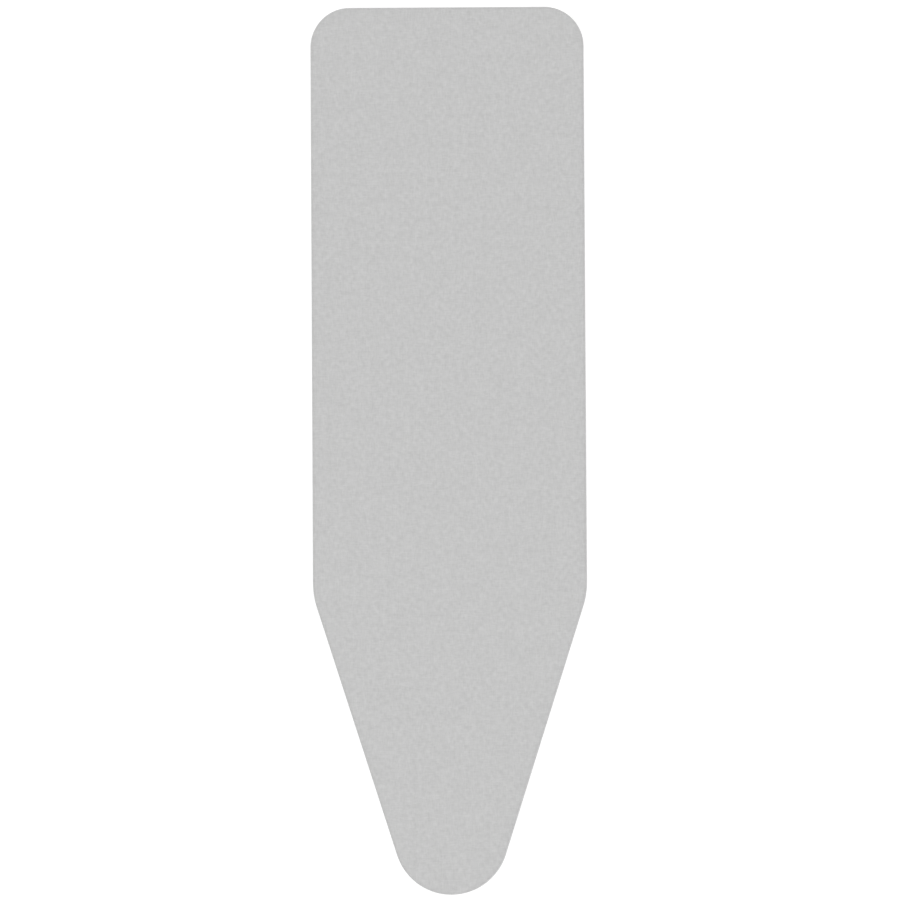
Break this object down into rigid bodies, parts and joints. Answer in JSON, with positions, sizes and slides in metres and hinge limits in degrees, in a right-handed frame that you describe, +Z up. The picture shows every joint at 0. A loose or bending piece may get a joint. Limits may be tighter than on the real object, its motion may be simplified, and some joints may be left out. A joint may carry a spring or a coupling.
{
  "type": "ironing board cover",
  "caption": "Ironing board cover with foam pad, gathered hem, drawcord with cord lock, and tension straps with hinged clips under it.",
  "frame": {"origin": "middle of the cover's box, on the surface that it lies on", "axes": "+Z up out of the ironing face, +Y along the cover towards its square heel, +X across it"},
  "size_m": [0.384, 1.2434, 0.033],
  "materials": {
    "metallised_cotton": "silver-grey metallised cotton, plain weave",
    "foam": "open-cell foam",
    "binding_tape": "woven cotton tape",
    "cord": "braided polyester cord",
    "lock_plastic": "fine spark-eroded plastic",
    "plunger_plastic": "fine spark-eroded plastic",
    "spring_steel": "drawn wire",
    "elastic": "woven elastic webbing",
    "nickel_steel": "nickel-plated pressed sheet"
  },
  "bodies": {
    "root": {"cover_cloth": "metallised_cotton", "foam_pad": "foam", "hem_binding": "binding_tape", "drawcord": "cord", "cord_stopper": "lock_plastic", "rear_tension_strap": "elastic", "front_tension_strap": "elastic", "rear_right_clip_frame": "nickel_steel", "rear_right_clip_pin": "nickel_steel", "rear_left_clip_frame": "nickel_steel", "rear_left_clip_pin": "nickel_steel", "front_right_clip_frame": "nickel_steel", "front_right_clip_pin": "nickel_steel", "front_left_clip_frame": "nickel_steel", "front_left_clip_pin": "nickel_steel"},
    "cord_lock": {"cord_lock_barrel": "lock_plastic", "cord_lock_spring": "spring_steel"},
    "lock_plunger": {"cord_lock_plunger": "plunger_plastic"},
    "rear_right_lever": {"rear_right_clip_lever": "nickel_steel"},
    "rear_left_lever": {"rear_left_clip_lever": "nickel_steel"},
    "front_right_lever": {"front_right_clip_lever": "nickel_steel"},
    "front_left_lever": {"front_left_clip_lever": "nickel_steel"}
  },
  "joints": [
    {"name": "cord_lock_slide", "type": "slide", "parent": "root", "child": "cord_lock", "axis": [0, -1, 0], "range_m": [0, 0.035]},
    {"name": "plunger_press", "type": "slide", "parent": "cord_lock", "child": "lock_plunger", "axis": [-1, 0, 0], "range_m": [0, 0.004], "stiffness_N_per_m": 400, "springref_m": -0.002, "deforming": ["cord_lock_spring"]},
    {"name": "rear_right_lever_hinge", "type": "hinge", "parent": "root", "child": "rear_right_lever", "pos_m": [0.13956, 0.3317, 0.005], "axis": [0, 1, 0], "range_deg": [0, 90]},
    {"name": "rear_left_lever_hinge", "type": "hinge", "parent": "root", "child": "rear_left_lever", "pos_m": [-0.13956, 0.3317, 0.005], "axis": [0, -1, 0], "range_deg": [0, 90]},
    {"name": "front_right_lever_hinge", "type": "hinge", "parent": "root", "child": "front_right_lever", "pos_m": [0.13996, -0.1017, 0.005], "axis": [0, 1, 0], "range_deg": [0, 90]},
    {"name": "front_left_lever_hinge", "type": "hinge", "parent": "root", "child": "front_left_lever", "pos_m": [-0.13996, -0.1017, 0.005], "axis": [0, -1, 0], "range_deg": [0, 90]}
  ]
}
